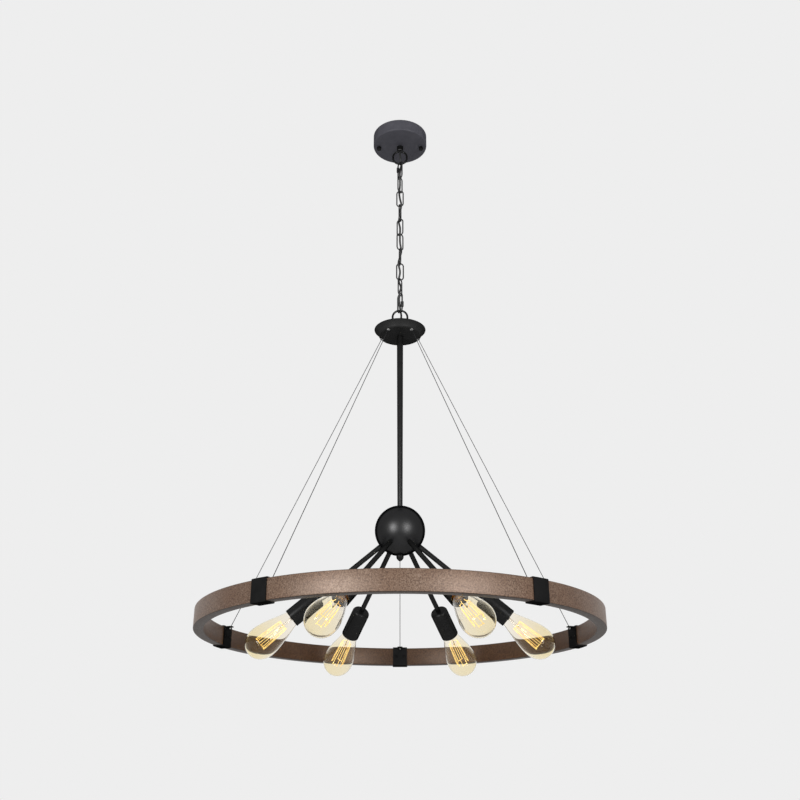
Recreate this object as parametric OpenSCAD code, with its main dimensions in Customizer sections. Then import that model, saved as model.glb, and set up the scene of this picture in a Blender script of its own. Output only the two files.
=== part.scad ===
// Ring chandelier on a chain: a stem and a ball carry six arms with filament bulbs,
// and five wires carry a wood-look ring round them.
// The origin is the centre of the canopy's top, on the ceiling. +Z is up.

/* [Canopy] */
// Outside diameter of the ceiling canopy
canopy_d = 130; // [126:1:160]
// Height of the canopy
canopy_h = 30; // [24:1:45]
// Sheet thickness of the canopy
canopy_wall = 1.2; // [0.8:0.1:2]
// Radius of the canopy's lower edge
canopy_edge_r = 3; // [2.2:0.2:6]
// Distance of each canopy stud from the canopy's outside
stud_inset = 13.5; // [11:0.5:16]
// Diameter of the canopy studs
stud_d = 4; // [3:0.5:5]
// Diameter of the knurled cap nuts
cap_nut_d = 10; // [8:0.5:12]
// Height of the knurled cap nuts
cap_nut_h = 9; // [7:0.5:12]
// Width of the mounting crossbar
bar_w = 20; // [14:1:30]
// Thickness of the mounting crossbar
bar_t = 2.5; // [1.5:0.1:4]
// Length of the crossbar past each stud
bar_end = 5; // [4:0.5:8]
// Distance between the crossbar's two slots
slot_spacing = 79.4; // [60:0.1:80]
// End-to-end length of each crossbar slot
slot_l = 14; // [8:0.5:14.5]
// Width of each crossbar slot
slot_w = 5; // [4:0.1:6]

/* [Collar loops] */
// Diameter of the screw collar on both loops
collar_d = 15; // [14:0.5:20]
// Height of the canopy's screw collar
collar_h = 14; // [13:0.5:20]
// Height of the hub's screw collar
hub_collar_h = 11; // [10:0.5:20]
// Wire diameter of both loops
loop_wire = 4.5; // [3.5:0.1:5.5]
// Clear height inside a loop
loop_inner_l = 33; // [30:1:45]
// Clear width inside a loop
loop_inner_w = 29; // [26:1:30]
// Outside diameter of the hollow nipples and of the ball rod
nipple_d = 8; // [7.6:0.1:8.1]
// Bore of the hollow nipples and of the ball rod
nipple_bore = 5.8; // [5.4:0.1:6]
// Width across the flats of the lock nuts
lock_nut_af = 14; // [13:0.5:17]
// Thickness of the lock nuts
lock_nut_h = 4; // [3:0.5:6]

/* [Chain] */
// Number of chain links between the quick links
link_count = 8; // [4:1:12]
// Clear length inside a chain link
link_inner_l = 41; // [34:0.5:55]
// Clear width inside a chain link
link_inner_w = 12.4; // [11:0.2:16]
// Wire diameter of the chain links
link_wire = 3; // [2.4:0.1:3.4]
// Clear length inside a quick link
quick_inner_l = 44; // [40:0.5:60]
// Clear width inside a quick link
quick_inner_w = 13; // [12.5:0.1:16]
// Wire diameter of the quick links
quick_wire = 3.5; // [3:0.1:4]
// Width across the flats of the quick links' threaded sleeves
sleeve_af = 7; // [6:0.1:7.6]
// Length of the threaded sleeves
sleeve_l = 12; // [10:0.5:14]
// Diameter of the supply cord
cord_d = 4.6; // [3.5:0.1:4.8]

/* [Hub] */
// Outside diameter of the hub at its rim
hub_d = 115; // [104:1:140]
// Diameter of the hub's flat floor
hub_floor_d = 94; // [94:1:98]
// Height of the hub from its floor to its rim
hub_h = 15.7; // [14:0.1:30]
// Sheet thickness of the hub's bowl
hub_wall = 1.2; // [0.8:0.1:1.6]
// Shape of the hub's side: 2 is a cone, more is hollow like a flared rim
hub_flare = 2.6; // [1.6:0.1:3]
// Thickness of the hub's lid
lid_t = 1.5; // [1:0.1:2.5]
// Rise of the lid at its middle
lid_dome = 2; // [1:0.5:4]

/* [Stem and ball] */
// Outside diameter of the stem at the hub
stem_d = 14; // [13:0.5:20]
// Outside diameter of the stem at the ball
stem_end_d = 10.8; // [10.8:0.2:16]
// Length of the stem
stem_l = 398; // [250:1:600]
// Wall of the stem tube
stem_wall = 1.2; // [0.8:0.1:1.2]
// Depth of the threaded ends of the stem
stem_thread_l = 18; // [15:1:25]
// Outside diameter of the ball
ball_d = 103.5; // [92:0.5:130]
// Wall of the ball
ball_wall = 1.2; // [0.8:0.1:2]
// Diameter of the finial
finial_d = 15; // [13:0.5:20]
// Height of the finial
finial_h = 13; // [12:0.5:20]
// Height of the finial's straight rim
finial_rim_h = 3; // [2:0.5:5]

/* [Arms and sockets] */
// Number of arms
arm_count = 6; // [4:1:8]
// Angle of the arms below the horizontal
arm_tilt = 39.8; // [25:0.1:50]
// Outside diameter of the arm tubes
arm_d = 10; // [9:0.5:12]
// Diameter of the threaded ends of the arms
arm_thread_d = 8; // [7:0.1:8.4]
// Bore of the arm tubes
arm_bore = 5.5; // [4:0.1:6]
// Length of an arm from the ball to its socket cup
arm_l = 160; // [120:1:180]
// Width across the flats of the arm nuts
arm_nut_af = 13; // [12:0.5:14]
// Thickness of the arm nuts
arm_nut_h = 4.5; // [3:0.5:5]
// Outside diameter of a socket cup
cup_d = 37; // [36:0.5:44]
// Length of a socket cup
cup_l = 68; // [66:1:90]
// Sheet thickness of a socket cup
cup_wall = 1.2; // [0.8:0.1:1.4]
// Radius of a socket cup's closed end
cup_edge_r = 7; // [3:0.5:8]
// Diameter of the lampholder body
holder_d = 33; // [31:0.5:33]
// Depth of the bulb's glass inside the cup's mouth
glass_inset = 8; // [4:0.5:12]
// Distance of the lampholder's face from the bulb's glass
holder_gap = 5; // [4:0.5:6]
// Inside diameter of the screw shell
shell_bore = 26.6; // [26.4:0.1:27]

/* [Bulbs] */
// Largest diameter of the bulb's glass
glass_d = 64; // [50:1:75]
// Length of the glass past the screw cap
glass_l = 115; // [90:1:130]
// Distance of the glass's widest place from its tip
glass_dome_l = 35; // [28:1:45]
// Diameter of the glass where it leaves the cap
glass_neck_d = 28; // [26:0.5:30]
// Wall of the glass
glass_wall = 0.8; // [0.5:0.1:1.2]
// Diameter of the screw cap
cap_d = 26; // [25.6:0.1:26.2]
// Length of the screw cap with its contact
cap_l = 25; // [23:0.5:28]
// Length of the cap's insulated end with its contact
cap_end_l = 4; // [3:0.5:5]

/* [Ring] */
// Outside diameter of the ring
ring_d = 800; // [700:5:1000]
// Height of the ring
ring_h = 38; // [30:1:60]
// Thickness of the ring from its outer to its inner face
ring_w = 20; // [14:1:30]
// Sheet thickness of the hollow ring
ring_wall = 1.2; // [0.8:0.1:2]
// Number of ring segments, clamps and wires
ring_parts = 5; // [3:1:8]
// Distance from the hub's floor to the ring's top
ring_drop = 625; // [500:1:800]
// Gap between two ring segments
ring_gap = 0.5; // [0.2:0.1:2]
// Width of a clamp round the ring
clamp_w = 34; // [28:1:50]
// Thickness of a clamp's strip
clamp_t = 2; // [1:0.1:3]
// Length of a clamp's wire tab
tab_l = 10; // [9:0.5:16]
// Width of a clamp's wire tab
tab_w = 12; // [8:0.5:20]
// Distance of each clamp screw from the clamp's middle
screw_offset = 9.6; // [8:0.1:10]
// Diameter of the clamp screws
screw_d = 4; // [3:0.1:5]
// Head diameter of the clamp screws
screw_head_d = 7.5; // [6:0.1:9]

/* [Wires] */
// Diameter of the suspension wires
wire_d = 1.5; // [0.8:0.1:1.6]
// Distance from the axis to where a wire leaves the hub
wire_hub_r = 43.5; // [38:0.5:43.5]
// Diameter of the crimped balls on the wires
stop_d = 4.2; // [3.6:0.1:5]
// Diameter of the bushings in the hub's floor
bushing_d = 7; // [5:0.1:7]
// Height of the bushings below the hub's floor
bushing_h = 1.6; // [0.8:0.1:2]

/* [Hidden] */
$fn = 64;
// Radial clearance of threads and of screws in their holes
fit = 0.1;
// Radial clearance of nipples and arms in sheet-metal holes
hole_fit = 0.2;
// Gap at the contact of two chain links
link_gap = 0.3;
// Radial clearance of a threaded sleeve on its quick link
sleeve_fit = 0.05;
// Gap between the ring and the clamp round it
clamp_fit = 0.15;
// Depth to which a loop's wire sinks into its collar
loop_sink = 2.5;
// Height of a collar past its thread
collar_end = 3;
// Width of the shoulder between a nipple's bore and the cord's hole in a collar
cord_inset = 0.2;
// Lead-in that stays free at the end of a blind thread
thread_end = 0.5;
// Length of a nipple, rod or arm past its nut
nut_tail = 3;
// Length of an arm's outer thread past its nut, in the lampholder
arm_tail = 7;
// Thickness of a cap nut's closed end
cap_nut_end = 2;
// Depth of the thread in the finial
finial_thread_l = 6.5;
// Radial gap between the lid's lower edge and the bowl round it
lid_gap = 0.5;
// Side clearance of a wire in its leaning passage through sheet
wire_play = 0.15;
// Length of a wire past the crimped ball at its end
wire_tail = 1;
// Length of a clamp screw past the ring's wall
screw_reach = 6;
// Length of a quick link's gap that its sleeve covers at each end
sleeve_cover = 2;
// Overshoot of a cutting tool
cut = 1;

stud_r = canopy_d / 2 - stud_inset;
loop_outer_l = loop_inner_l + 2 * loop_wire;
// Distance from a collar's face to the far end of its loop
function loop_reach(collar) = collar + loop_outer_l - loop_sink;
chain_top = -canopy_h - loop_reach(collar_h) + loop_wire;

// Turn of each link about the vertical, from the upper quick link down
quick_turns = [-55, 126];
link_turns = [50, -12, 74, 150, 28, 102, 5, 58];

last_item = link_count + 1;
function item_l(k) = (k == 0 || k == last_item) ? quick_inner_l : link_inner_l;
function item_top(k) = k == 0 ? chain_top + link_gap : item_top(k - 1) - item_l(k - 1) + link_gap;
function item_turn(k) = k == 0 ? quick_turns[0]
    : k == last_item ? quick_turns[1]
    : link_turns[(k - 1) % len(link_turns)];

hub_top = item_top(last_item + 1) + loop_wire - loop_reach(hub_collar_h);
rim_z = hub_top - lid_dome;
floor_z = rim_z - hub_h;
ball_r = ball_d / 2;
// The stem's end rests on the edge of the ball's hole
hole_r = nipple_d / 2 + hole_fit;
ball_seat = sqrt(ball_r * ball_r - hole_r * hole_r);
stem_end = floor_z - stem_l;
ball_z = stem_end - ball_seat;
ball_inner_r = ball_r - ball_wall;

// Distances along an arm from the centre of the ball
cup_start = ball_r + arm_l;
mouth = cup_start + cup_l;
nut_seat = cup_start + cup_wall;
holder_start = nut_seat + arm_nut_h + fit;
glass_start = mouth - glass_inset;
holder_end = glass_start - holder_gap;
cap_start = glass_start - cap_l;
thread_start = cap_start + cap_end_l;
shell_t = 0.7;
contact_d = 11;
contact_t = 1.5;
// The lampholder's centre contact ends just behind the bulb's
contact_gap = 0.3;
contact_z = cap_start - contact_gap;
neck_in_l = 7;
cap_sheet = 0.5;

ring_r = ring_d / 2;
ring_inner_r = ring_r - ring_w;
ring_top = floor_z - ring_drop;
clamp_inner_r = ring_inner_r - clamp_fit - clamp_t;
tab_z = ring_top + clamp_fit;
wire_ring_r = clamp_inner_r - tab_l / 2;
// Angle of a wire from the vertical
wire_lean = atan2(wire_ring_r - wire_hub_r, floor_z - tab_z);
// Diameter of an upright hole that lets a leaning wire through sheet of a given thickness
function wire_hole(sheet) = wire_d / cos(wire_lean) + sheet * tan(wire_lean) + 2 * wire_play;

// Route of the supply cord: points on the axis, beside each contact and inside each link
cord_route = [
    [0, 0, -14], [0, 0, -32], [0, 0, -48], [1, 2, -62],
    [2.7, 5.5, -80], [0.5, -0.5, -101],
    [-0.5, -7.5, -123], [0, 0, -143],
    [-1.8, 5, -163.5], [0, 0, -184],
    [3, -5, -204.5], [0, 0, -224.5],
    [-2.6, 6.8, -245], [0, 0, -265.5],
    [0, -5, -286], [0, 0, -306],
    [3, 6.6, -326.5], [0, 0, -346.5],
    [-3.6, -4.9, -367], [0, 0, -387.5],
    [-2.9, 4.7, -408], [0, 0, -428],
    [0.3, -8.4, -448.5], [0.5, -1, -470],
    [2.7, 5.6, -490], [1.2, 2.6, -505],
    [0, 0, -520], [0, 0, -534], [0, 0, -548],
];
cord_sides = 8;
cord_steps = 2;

// Points along an arc, from one angle to another
function arc(x, y, r, from, to, steps = 8) =
    [for (i = [0:steps]) let (a = from + (to - from) * i / steps) [x + r * cos(a), y + r * sin(a)]];

// Half section of a cup that is closed at the bottom, with a rounded edge
module cup_section(r, h, wall, edge) {
    polygon(concat(
        [[0, 0]], arc(r - edge, edge, edge, -90, 0), [[r, h], [r - wall, h]],
        arc(r - edge, edge, edge - wall, 0, -90), [[0, wall]]
    ));
}

module hex_nut(af, h, bore) {
    difference() {
        cylinder(d = af / cos(30), h = h, $fn = 6);
        translate([0, 0, -cut]) cylinder(d = bore, h = h + 2 * cut);
    }
}

module tube(d, bore, from, to) {
    translate([0, 0, to]) difference() {
        cylinder(d = d, h = from - to);
        translate([0, 0, -cut]) cylinder(d = bore, h = from - to + 2 * cut);
    }
}

// A link of round wire in the XZ plane, with the top of its opening at the origin
module oval_link(inner_l, inner_w, wire) {
    mid_r = (inner_w + wire) / 2;
    straight = inner_l + wire - 2 * mid_r;
    translate([0, 0, wire / 2]) rotate([90, 0, 0]) {
        translate([0, -mid_r, 0])
            rotate_extrude(angle = 180) translate([mid_r, 0]) circle(d = wire);
        translate([0, -mid_r - straight, 0]) rotate([0, 0, 180])
            rotate_extrude(angle = 180) translate([mid_r, 0]) circle(d = wire);
        for (side = [-1, 1])
            translate([side * mid_r, -mid_r - straight, 0]) rotate([-90, 0, 0])
                cylinder(d = wire, h = straight);
    }
}

// Screw collar with its loop, hanging from the collar's face at the origin
module collar_loop(height) {
    cone_h = 3;
    thread_l = height - collar_end;
    color([0.10, 0.10, 0.10]) difference() {
        union() {
            translate([0, 0, cone_h - height]) cylinder(d = collar_d, h = height - cone_h);
            translate([0, 0, -height]) cylinder(d1 = collar_d - cone_h, d2 = collar_d, h = cone_h);
            translate([0, 0, loop_sink - height - loop_wire])
                oval_link(loop_inner_l, loop_inner_w, loop_wire);
        }
        translate([0, 0, -thread_l]) cylinder(d = nipple_d + 2 * fit, h = thread_l + cut);
        translate([0, 0, -height - loop_wire])
            cylinder(d = nipple_bore - 2 * cord_inset, h = height + loop_wire + cut);
    }
}

module mounting_crossbar() {
    length = 2 * (stud_r + bar_end);
    slot_step = (slot_l - slot_w) / 2;
    color([0.70, 0.71, 0.72]) difference() {
        translate([-length / 2, -bar_w / 2, -bar_t]) cube([length, bar_w, bar_t]);
        for (side = [-1, 1]) {
            translate([side * stud_r, 0, -bar_t - cut])
                cylinder(d = stud_d + 2 * fit, h = bar_t + 2 * cut);
            translate([side * slot_spacing / 2, 0, -bar_t - cut]) {
                for (end = [-1, 1])
                    translate([end * slot_step, 0, 0]) cylinder(d = slot_w, h = bar_t + 2 * cut);
                translate([-slot_step, -slot_w / 2, 0]) cube([2 * slot_step, slot_w, bar_t + 2 * cut]);
            }
        }
    }
}

module canopy_studs() {
    length = canopy_h + cap_nut_h - cap_nut_end - thread_end;
    color([0.70, 0.71, 0.72])
        for (side = [-1, 1])
            translate([side * stud_r, 0, -length]) cylinder(d = stud_d, h = length);
}

module canopy_cap_nuts() {
    dome = 2;
    color([0.10, 0.10, 0.10])
        for (side = [-1, 1]) translate([side * stud_r, 0, -canopy_h]) difference() {
            translate([0, 0, -cap_nut_h]) rotate_extrude() polygon(concat(
                [[0, 0]], arc(cap_nut_d / 2 - dome, dome, dome, -90, 0),
                [[cap_nut_d / 2, cap_nut_h], [0, cap_nut_h]]
            ));
            translate([0, 0, cap_nut_end - cap_nut_h]) cylinder(d = stud_d + 2 * fit, h = cap_nut_h);
        }
}

module canopy_shell() {
    color([0.13, 0.13, 0.14]) translate([0, 0, -canopy_h]) difference() {
        rotate_extrude() cup_section(canopy_d / 2, canopy_h, canopy_wall, canopy_edge_r);
        translate([0, 0, -cut]) cylinder(d = nipple_d + 2 * hole_fit, h = canopy_wall + 2 * cut);
        for (side = [-1, 1])
            translate([side * stud_r, 0, -cut])
                cylinder(d = stud_d + 2 * hole_fit, h = canopy_wall + 2 * cut);
    }
}

module canopy_nipple() {
    nut_z = -canopy_h + canopy_wall;
    color([0.70, 0.71, 0.72]) {
        tube(nipple_d, nipple_bore, nut_z + lock_nut_h + nut_tail,
            -canopy_h - collar_h + collar_end + thread_end);
        translate([0, 0, nut_z]) hex_nut(lock_nut_af, lock_nut_h, nipple_d + 2 * fit);
    }
}

module canopy_loop() {
    translate([0, 0, -canopy_h]) collar_loop(collar_h);
}

module chain_item(k) {
    translate([0, 0, item_top(k)]) rotate([0, 0, item_turn(k)]) children();
}

// Middle of the quick link's side that carries the sleeve
module at_quick_side(k) {
    chain_item(k) translate([-(quick_inner_w + quick_wire) / 2, 0, -quick_inner_l / 2]) children();
}

// The sleeve covers the gap in the link's side; up is 1 where it sits above the middle
module quick_link(k, up) {
    gap_l = sleeve_l - 2 * sleeve_cover;
    color([0.10, 0.10, 0.10]) difference() {
        chain_item(k) oval_link(quick_inner_l, quick_inner_w, quick_wire);
        at_quick_side(k) translate([0, 0, up * sleeve_l / 2 - gap_l / 2])
            cylinder(d = 2 * quick_wire, h = gap_l);
    }
}

module link_sleeve(k, up) {
    color([0.10, 0.10, 0.10])
        at_quick_side(k) translate([0, 0, up * sleeve_l / 2 - sleeve_l / 2])
            hex_nut(sleeve_af, sleeve_l, quick_wire + 2 * sleeve_fit);
}

module upper_quick_link() { quick_link(0, 1); }
module upper_link_sleeve() { link_sleeve(0, 1); }
module lower_quick_link() { quick_link(last_item, -1); }
module lower_link_sleeve() { link_sleeve(last_item, -1); }

module chain_link(i) {
    color([0.10, 0.10, 0.10]) chain_item(i) oval_link(link_inner_l, link_inner_w, link_wire);
}

// Smooth curve through the route's points
function between(a, b, c, d, t) = 0.5 * (2 * b + (c - a) * t
    + (2 * a - 5 * b + 4 * c - d) * t * t + (3 * b - a - 3 * c + d) * t * t * t);
function route_point(i) = cord_route[max(0, min(len(cord_route) - 1, i))];
cord_path = concat(
    [for (i = [0:len(cord_route) - 2], s = [0:cord_steps - 1])
        between(route_point(i - 1), route_point(i), route_point(i + 1), route_point(i + 2),
            s / cord_steps)],
    [route_point(len(cord_route) - 1)]
);
function unit(v) = v / norm(v);
function path_way(i) = unit(cord_path[min(len(cord_path) - 1, i + 1)] - cord_path[max(0, i - 1)]);
function cord_ring(i) = let (
        side = unit(cross([0, 1, 0], path_way(i))),
        front = cross(path_way(i), side)
    )
    [for (j = [0:cord_sides - 1]) let (a = 360 * j / cord_sides)
        cord_path[i] + cord_d / 2 * (cos(a) * side + sin(a) * front)];

module supply_cord() {
    rings = len(cord_path);
    last = (rings - 1) * cord_sides;
    color([0.07, 0.07, 0.07]) polyhedron(
        points = [for (i = [0:rings - 1]) each cord_ring(i)],
        faces = concat(
            [[for (j = [0:cord_sides - 1]) j]],
            [for (i = [0:rings - 2], j = [0:cord_sides - 1]) let (
                    a = i * cord_sides + j,
                    b = i * cord_sides + (j + 1) % cord_sides
                )
                each [[a, a + cord_sides, b + cord_sides], [a, b + cord_sides, b]]],
            [[for (j = [cord_sides - 1:-1:0]) last + j]]
        )
    );
}

module hub_loop() {
    translate([0, 0, hub_top]) rotate([180, 0, 0]) collar_loop(hub_collar_h);
}

// Radius of the hub's inner face at a depth below its rim
function hub_inner_r(depth) = hub_floor_d / 2 - hub_wall / 2
    + (hub_d - hub_floor_d - hub_wall) / 2
    * pow(cos(asin(pow(depth / (hub_h - hub_wall), 1 / hub_flare))), hub_flare);
// The lid drops into the flared mouth until its lower edge nearly meets the bowl
lid_r = hub_inner_r(lid_t) - lid_gap;

module hub_lid() {
    steps = 8;
    color([0.10, 0.10, 0.10]) translate([0, 0, rim_z]) difference() {
        rotate_extrude() polygon(concat(
            [for (i = [0:steps]) let (x = i / steps) [lid_r * x, lid_dome * (1 - x * x)]],
            [for (i = [steps:-1:0]) let (x = i / steps) [lid_r * x, lid_dome * (1 - x * x) - lid_t]]
        ));
        translate([0, 0, -lid_t - cut])
            cylinder(d = nipple_d + 2 * hole_fit, h = lid_t + lid_dome + 2 * cut);
    }
}

// Side of the hub from its rim to its floor
function hub_side(rim_r, floor_r, h, steps = 10) =
    [for (i = [0:steps]) let (a = 90 * i / steps)
        [floor_r + (rim_r - floor_r) * pow(cos(a), hub_flare), -h * pow(sin(a), hub_flare)]];

module hub_bowl() {
    side = hub_side(hub_d / 2, hub_floor_d / 2, hub_h);
    lining = hub_side(hub_d / 2 - hub_wall, hub_floor_d / 2 - hub_wall / 2, hub_h - hub_wall);
    color([0.10, 0.10, 0.10]) translate([0, 0, rim_z]) difference() {
        rotate_extrude() polygon(concat(
            side, [[0, -hub_h], [0, hub_wall - hub_h]],
            [for (i = [len(lining) - 1:-1:0]) lining[i]]
        ));
        translate([0, 0, -hub_h - cut])
            cylinder(d = nipple_d + 2 * hole_fit, h = hub_wall + 2 * cut);
        for (i = [1:ring_parts]) rotate([0, 0, clamp_turn(i)])
            translate([wire_hub_r, 0, -hub_h - cut])
                cylinder(d = wire_hole(hub_wall + bushing_h), h = hub_wall + 2 * cut);
    }
}

module hub_nipple() {
    color([0.70, 0.71, 0.72]) tube(nipple_d, nipple_bore,
        hub_top + hub_collar_h - collar_end - thread_end, floor_z - stem_thread_l + nut_tail);
}

// Distance from the ball's centre at which a nut's corners meet the inside of its wall
function nut_in_ball(af) = sqrt(pow(ball_inner_r, 2) - pow(af / 2 / cos(30), 2)) - fit;

module rod_lock_nuts() {
    lid_fall = lid_dome * pow(lock_nut_af / 2 / cos(30) / lid_r, 2);
    color([0.70, 0.71, 0.72])
        for (z = [floor_z + hub_wall, hub_top - lid_t - lid_fall - fit - lock_nut_h,
                ball_z + nut_in_ball(lock_nut_af) - lock_nut_h])
            translate([0, 0, z]) hex_nut(lock_nut_af, lock_nut_h, nipple_d + 2 * fit);
}

// A tube that narrows towards the ball, with a plain bore for the thread at each end
module stem() {
    color([0.10, 0.10, 0.10]) translate([0, 0, stem_end]) difference() {
        cylinder(d1 = stem_end_d, d2 = stem_d, h = stem_l);
        translate([0, 0, -cut]) cylinder(d = nipple_d + 2 * fit, h = stem_l + 2 * cut);
        translate([0, 0, stem_thread_l])
            cylinder(d1 = stem_end_d - 2 * stem_wall, d2 = stem_d - 2 * stem_wall,
                h = stem_l - 2 * stem_thread_l);
    }
}

// Turns an upright child so that its axis runs along an arm, from the ball's centre out
module along_arm(i) {
    rotate([0, 0, 360 / arm_count * (i - 1)]) translate([0, 0, ball_z])
        rotate([0, 90 + arm_tilt, 0]) children();
}

// Half of the ball's wall; up is 1 for the upper half
module ball_half(up) {
    difference() {
        sphere(d = ball_d);
        sphere(r = ball_inner_r);
        translate([-ball_d, -ball_d, up > 0 ? -2 * ball_d : 0]) cube(2 * ball_d);
        translate([0, 0, up > 0 ? 0 : -ball_d]) cylinder(r = hole_r, h = ball_d);
    }
}

module ball_upper_half() {
    color([0.10, 0.10, 0.10]) translate([0, 0, ball_z]) ball_half(1);
}

module ball_lower_half() {
    color([0.10, 0.10, 0.10]) difference() {
        translate([0, 0, ball_z]) ball_half(-1);
        for (i = [1:arm_count])
            along_arm(i) cylinder(d = arm_thread_d + 2 * hole_fit, h = ball_d);
    }
}

module ball_rod() {
    color([0.70, 0.71, 0.72]) tube(nipple_d, nipple_bore, stem_end + stem_thread_l - nut_tail,
        ball_z - ball_seat - finial_thread_l + thread_end);
}

// A pointed drop under the ball, below a straight rim
module finial() {
    point_h = finial_h - finial_rim_h;
    steps = 8;
    color([0.10, 0.10, 0.10]) translate([0, 0, ball_z - ball_seat]) difference() {
        rotate_extrude() polygon(concat(
            [[0, -finial_h], [0, 0], [finial_d / 2, 0]],
            [for (i = [0:steps - 1]) let (t = i / steps)
                [finial_d / 2 * (1 - pow(t, 2.4)), -finial_rim_h - point_h * t]]
        ));
        translate([0, 0, -finial_thread_l])
            cylinder(d = nipple_d + 2 * fit, h = finial_thread_l + cut);
    }
}

module arm_tubes() {
    thread_in = ball_r - nut_in_ball(arm_nut_af) + arm_nut_h + nut_tail;
    thread_out = cup_wall + arm_nut_h + arm_tail;
    color([0.10, 0.10, 0.10])
        for (i = [1:arm_count]) along_arm(i) difference() {
            union() {
                translate([0, 0, ball_r - thread_in])
                    cylinder(d = arm_thread_d, h = thread_in + arm_l + thread_out);
                translate([0, 0, ball_r]) cylinder(d = arm_d, h = arm_l);
            }
            translate([0, 0, ball_r - thread_in - cut])
                cylinder(d = arm_bore, h = thread_in + arm_l + thread_out + 2 * cut);
        }
}

module arm_nuts() {
    color([0.70, 0.71, 0.72])
        for (i = [1:arm_count], q = [nut_in_ball(arm_nut_af) - arm_nut_h, nut_seat])
            along_arm(i) translate([0, 0, q]) hex_nut(arm_nut_af, arm_nut_h, arm_thread_d + 2 * fit);
}

module socket_cup(i) {
    color([0.10, 0.10, 0.10]) along_arm(i) translate([0, 0, cup_start]) difference() {
        rotate_extrude() cup_section(cup_d / 2, cup_l, cup_wall, cup_edge_r);
        translate([0, 0, -cut]) cylinder(d = arm_thread_d + 2 * hole_fit, h = cup_wall + 2 * cut);
    }
}

module lampholders() {
    color([0.16, 0.14, 0.12])
        for (i = [1:arm_count]) along_arm(i) difference() {
            translate([0, 0, holder_start]) cylinder(d = holder_d, h = holder_end - holder_start);
            translate([0, 0, contact_z - contact_t])
                cylinder(d = shell_bore + 2 * shell_t + 2 * fit, h = holder_end);
            translate([0, 0, holder_start - cut])
                cylinder(d = arm_thread_d + 2 * fit, h = cut + arm_tail + thread_end);
            translate([0, 0, holder_start]) cylinder(d = arm_bore, h = cup_l);
        }
}

module lampholder_contacts() {
    color([0.80, 0.62, 0.28])
        for (i = [1:arm_count]) along_arm(i) {
            translate([0, 0, thread_start]) difference() {
                cylinder(d = shell_bore + 2 * shell_t, h = holder_end - thread_start);
                translate([0, 0, -cut]) cylinder(d = shell_bore, h = holder_end);
            }
            translate([0, 0, contact_z - contact_t]) cylinder(d = contact_d, h = contact_t);
        }
}

// Outer radius of the glass at a distance from the cap: a taper that swells into a dome
widest = glass_l - glass_dome_l;
function swell(t) = 0.55 * (3 * t * t - 2 * t * t * t) + 0.45 * sin(90 * t);
function glass_side(inset, steps = 10) = concat(
    [for (i = [0:steps - 1]) let (t = i / steps)
        [glass_neck_d / 2 + (glass_d - glass_neck_d) / 2 * swell(t) - inset, max(inset, widest * t)]],
    [for (i = [0:steps]) let (a = 90 * i / steps)
        [(glass_d / 2 - inset) * cos(a), widest + (glass_dome_l - inset) * sin(a)]]
);

module bulb_glass(i) {
    neck_r = cap_d / 2 - cap_sheet - fit;
    outside = glass_side(0);
    inside = glass_side(glass_wall);
    flare_t = 1;
    stem_r = 3.5;
    stem_top = 38;
    color([0.93, 0.88, 0.78, 0.4]) along_arm(i) translate([0, 0, glass_start]) {
        rotate_extrude() polygon(concat(
            [[neck_r - glass_wall, -neck_in_l], [neck_r, -neck_in_l], [neck_r, 0]],
            outside, [for (j = [len(inside) - 1:-1:0]) inside[j]],
            [[neck_r - glass_wall, glass_wall]]
        ));
        rotate_extrude() polygon(concat(
            [[0, -neck_in_l], [neck_r - glass_wall - fit, -neck_in_l],
                [neck_r - glass_wall - fit, flare_t - neck_in_l], [stem_r, neck_in_l]],
            arc(0, stem_top - stem_r, stem_r, 0, 90)
        ));
    }
}

// Screw shell with the insulator in its end and the contact under it
module bulb_cap(i) {
    tip_h = 1.5;
    tip_r = 4.5;
    contact_r = 3;
    shell_r = cap_d / 2;
    shell_l = cap_l - cap_end_l;
    flange_r = 9.5;
    seat_r = 8;
    color([0.80, 0.66, 0.36]) along_arm(i) translate([0, 0, cap_start]) {
        translate([0, 0, cap_end_l]) rotate_extrude() polygon([
            [seat_r, 0], [shell_r, 0], [shell_r, shell_l],
            [shell_r - cap_sheet, shell_l], [shell_r - cap_sheet, cap_sheet],
            [seat_r, cap_sheet],
        ]);
        rotate_extrude() polygon([
            [0, tip_h], [tip_r, tip_h], [flange_r, cap_end_l], [seat_r - fit, cap_end_l],
            [seat_r - fit, cap_end_l + cap_sheet], [0, cap_end_l + cap_sheet],
        ]);
        cylinder(r = contact_r, h = tip_h);
    }
}

function clamp_turn(i) = 90 + 360 / ring_parts * (i - 1);

// Turns a child that points along +X to one side of a clamp's middle
module at_screw(i, side) {
    rotate([0, 0, clamp_turn(i) + side * asin(screw_offset / ring_inner_r)]) children();
}

module ring_section(x, z, w, h, wall) {
    translate([x, z]) difference() {
        square([w, h]);
        translate([wall, wall]) square([w - 2 * wall, h - 2 * wall]);
    }
}

module ring_segment(i) {
    gap_angle = ring_gap / ring_r * 180 / PI;
    color([0.40, 0.28, 0.22]) difference() {
        rotate([0, 0, clamp_turn(i) + gap_angle / 2])
            rotate_extrude(angle = 360 / ring_parts - gap_angle, $fn = 180)
                ring_section(ring_inner_r, ring_top - ring_h, ring_w, ring_h, ring_wall);
        for (end = [0, 1])
            at_screw(i + end, 1 - 2 * end)
                translate([ring_inner_r - cut, 0, ring_top - ring_h / 2]) rotate([0, 90, 0])
                    cylinder(d = screw_d + 2 * fit, h = ring_wall + 2 * cut);
    }
}

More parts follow.
